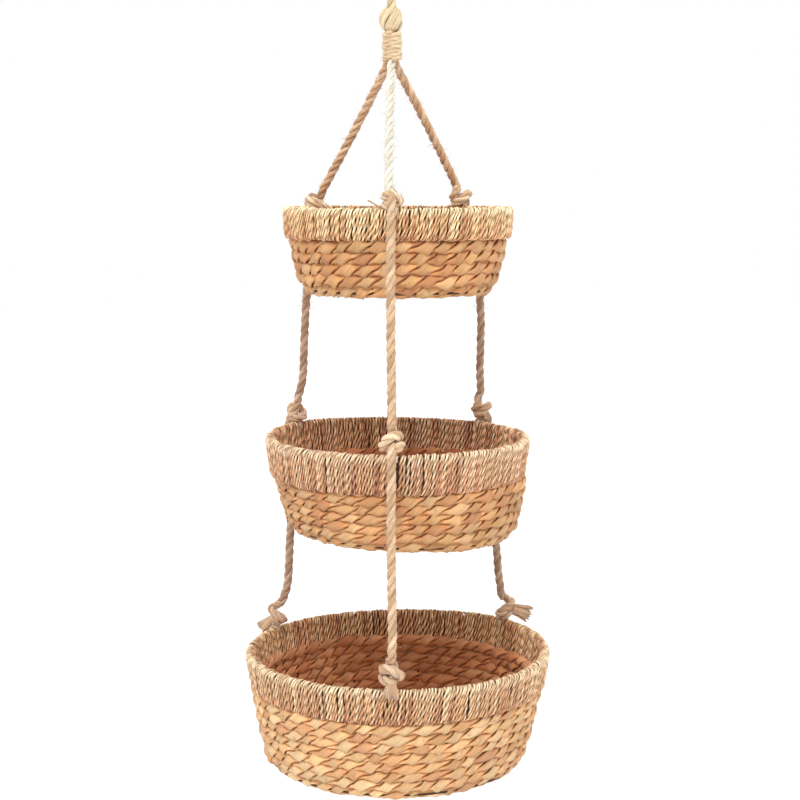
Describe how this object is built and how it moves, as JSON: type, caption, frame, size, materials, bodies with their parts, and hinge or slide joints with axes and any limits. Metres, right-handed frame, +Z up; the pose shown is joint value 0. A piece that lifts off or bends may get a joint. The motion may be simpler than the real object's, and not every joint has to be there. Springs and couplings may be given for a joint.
{
  "type": "hanging produce basket",
  "caption": "Tiered hanging produce basket: round twined baskets with cord-wound rims on wire frames, slung one below another on laid rope under a hanging loop.",
  "frame": {"origin": "inside top of the hanging loop, where the hook bears", "axes": "+Z up, -Y the front of the baskets, +X to the right"},
  "size_m": [0.3516, 0.3748, 0.938],
  "materials": {
    "jute_rope": "matte",
    "pale_jute_rope": "matte",
    "seagrass_cord": "matte",
    "water_hyacinth": "matte",
    "frame_wire": "matte",
    "whipping_twine": "matte"
  },
  "bodies": {
    "hanger": {"hanging_loop": "jute_rope"},
    "crown": {"crown_knot": "jute_rope"},
    "top_tier": {"rope_bundle": "jute_rope", "whipping": "whipping_twine", "upper_rope_front": "pale_jute_rope", "upper_rope_left": "jute_rope", "upper_rope_right": "jute_rope", "top_rim_ring": "frame_wire", "top_band_ring": "frame_wire", "top_base_ring": "frame_wire", "top_stakes": "frame_wire", "top_rim_wrap": "seagrass_cord", "top_woven_wall": "water_hyacinth", "top_woven_floor": "water_hyacinth", "top_hitches": "jute_rope", "top_knot_front": "jute_rope", "top_knot_left": "jute_rope", "top_knot_right": "jute_rope"},
    "middle_front_bend": {"middle_lip_bend_front": "jute_rope"},
    "middle_front_rope": {"middle_rope_front": "jute_rope"},
    "middle_front_foot": {"middle_foot_bend_front": "jute_rope"},
    "middle_tier": {"middle_rim_ring": "frame_wire", "middle_band_ring": "frame_wire", "middle_base_ring": "frame_wire", "middle_stakes": "frame_wire", "middle_rim_wrap": "seagrass_cord", "middle_woven_wall": "water_hyacinth", "middle_woven_floor": "water_hyacinth", "middle_hitches": "jute_rope", "middle_knot_front": "jute_rope", "middle_knot_left": "jute_rope", "middle_knot_right": "jute_rope"},
    "middle_left_bend": {"middle_lip_bend_left": "jute_rope"},
    "middle_left_rope": {"middle_rope_left": "jute_rope"},
    "middle_right_bend": {"middle_lip_bend_right": "jute_rope"},
    "middle_right_rope": {"middle_rope_right": "jute_rope"},
    "bottom_front_bend": {"bottom_lip_bend_front": "jute_rope"},
    "bottom_front_rope": {"bottom_rope_front": "jute_rope"},
    "bottom_front_foot": {"bottom_foot_bend_front": "jute_rope"},
    "bottom_tier": {"bottom_rim_ring": "frame_wire", "bottom_band_ring": "frame_wire", "bottom_base_ring": "frame_wire", "bottom_stakes": "frame_wire", "bottom_rim_wrap": "seagrass_cord", "bottom_woven_wall": "water_hyacinth", "bottom_woven_floor": "water_hyacinth", "bottom_hitches": "jute_rope", "bottom_knot_front": "jute_rope", "bottom_knot_left": "jute_rope", "bottom_knot_right": "jute_rope", "tail_front": "jute_rope", "tail_left": "jute_rope", "tail_right": "jute_rope"},
    "bottom_left_bend": {"bottom_lip_bend_left": "jute_rope"},
    "bottom_left_rope": {"bottom_rope_left": "jute_rope"},
    "bottom_right_bend": {"bottom_lip_bend_right": "jute_rope"},
    "bottom_right_rope": {"bottom_rope_right": "jute_rope"}
  },
  "joints": [
    {"name": "swing_front_back", "type": "hinge", "parent": "hanger", "child": "crown", "pos_m": [0, 0, -0.089], "axis": [1, 0, 0], "range_deg": [-15, 15]},
    {"name": "swing_side", "type": "hinge", "parent": "crown", "child": "top_tier", "pos_m": [0, 0, -0.089], "axis": [0, 1, 0], "range_deg": [-15, 15]},
    {"name": "middle_sway_front_back", "type": "hinge", "parent": "top_tier", "child": "middle_front_bend", "pos_m": [0.00033, -0.13634, -0.2975], "axis": [1, 0, 0], "range_deg": [-8, 8]},
    {"name": "middle_sway_side", "type": "hinge", "parent": "middle_front_bend", "child": "middle_front_rope", "pos_m": [0.00033, -0.13634, -0.2975], "axis": [0, 1, 0], "range_deg": [-8, 8]},
    {"name": "middle_level_side", "type": "hinge", "parent": "middle_front_rope", "child": "middle_front_foot", "pos_m": [0.00093, -0.14487, -0.521], "axis": [0, 1, 0], "range_deg": [-8, 8]},
    {"name": "middle_level_front_back", "type": "hinge", "parent": "middle_front_foot", "child": "middle_tier", "pos_m": [0.00093, -0.14487, -0.521], "axis": [1, 0, 0], "range_deg": [-8, 8]},
    {"name": "middle_left_front_back", "type": "hinge", "parent": "top_tier", "child": "middle_left_bend", "pos_m": [-0.09726, 0.08811, -0.2975], "axis": [1, 0, 0], "range_deg": [-8, 8]},
    {"name": "middle_left_side", "type": "hinge", "parent": "middle_left_bend", "child": "middle_left_rope", "pos_m": [-0.09726, 0.08811, -0.2975], "axis": [0, 1, 0], "range_deg": [-8, 8]},
    {"name": "middle_right_front_back", "type": "hinge", "parent": "top_tier", "child": "middle_right_bend", "pos_m": [0.08743, 0.11029, -0.2975], "axis": [1, 0, 0], "range_deg": [-8, 8]},
    {"name": "middle_right_side", "type": "hinge", "parent": "middle_right_bend", "child": "middle_right_rope", "pos_m": [0.08743, 0.11029, -0.2975], "axis": [0, 1, 0], "range_deg": [-8, 8]},
    {"name": "bottom_sway_front_back", "type": "hinge", "parent": "middle_tier", "child": "bottom_front_bend", "pos_m": [0.0004, -0.15736, -0.555], "axis": [1, 0, 0], "range_deg": [-8, 8]},
    {"name": "bottom_sway_side", "type": "hinge", "parent": "bottom_front_bend", "child": "bottom_front_rope", "pos_m": [0.0004, -0.15736, -0.555], "axis": [0, 1, 0], "range_deg": [-8, 8]},
    {"name": "bottom_level_side", "type": "hinge", "parent": "bottom_front_rope", "child": "bottom_front_foot", "pos_m": [0.00077, -0.16989, -0.7655], "axis": [0, 1, 0], "range_deg": [-8, 8]},
    {"name": "bottom_level_front_back", "type": "hinge", "parent": "bottom_front_foot", "child": "bottom_tier", "pos_m": [0.00077, -0.16989, -0.7655], "axis": [1, 0, 0], "range_deg": [-8, 8]},
    {"name": "bottom_left_front_back", "type": "hinge", "parent": "middle_tier", "child": "bottom_left_bend", "pos_m": [-0.12264, 0.08944, -0.555], "axis": [1, 0, 0], "range_deg": [-8, 8]},
    {"name": "bottom_left_side", "type": "hinge", "parent": "bottom_left_bend", "child": "bottom_left_rope", "pos_m": [-0.12264, 0.08944, -0.555], "axis": [0, 1, 0], "range_deg": [-8, 8]},
    {"name": "bottom_right_front_back", "type": "hinge", "parent": "middle_tier", "child": "bottom_right_bend", "pos_m": [0.11522, 0.11444, -0.555], "axis": [1, 0, 0], "range_deg": [-8, 8]},
    {"name": "bottom_right_side", "type": "hinge", "parent": "bottom_right_bend", "child": "bottom_right_rope", "pos_m": [0.11522, 0.11444, -0.555], "axis": [0, 1, 0], "range_deg": [-8, 8]}
  ],
  "couplings": [
    {"joint": "middle_level_side", "follows": "middle_sway_side", "ratio": -0.854},
    {"joint": "middle_level_front_back", "follows": "middle_sway_front_back", "ratio": -0.9784},
    {"joint": "middle_left_front_back", "follows": "middle_sway_front_back", "ratio": 1},
    {"joint": "middle_left_side", "follows": "middle_sway_side", "ratio": 1},
    {"joint": "middle_right_front_back", "follows": "middle_sway_front_back", "ratio": 1},
    {"joint": "middle_right_side", "follows": "middle_sway_side", "ratio": 1},
    {"joint": "bottom_level_side", "follows": "bottom_sway_side", "ratio": -0.8739},
    {"joint": "bottom_level_front_back", "follows": "bottom_sway_front_back", "ratio": -0.9611},
    {"joint": "bottom_left_front_back", "follows": "bottom_sway_front_back", "ratio": 1},
    {"joint": "bottom_left_side", "follows": "bottom_sway_side", "ratio": 1},
    {"joint": "bottom_right_front_back", "follows": "bottom_sway_front_back", "ratio": 1},
    {"joint": "bottom_right_side", "follows": "bottom_sway_side", "ratio": 1}
  ]
}
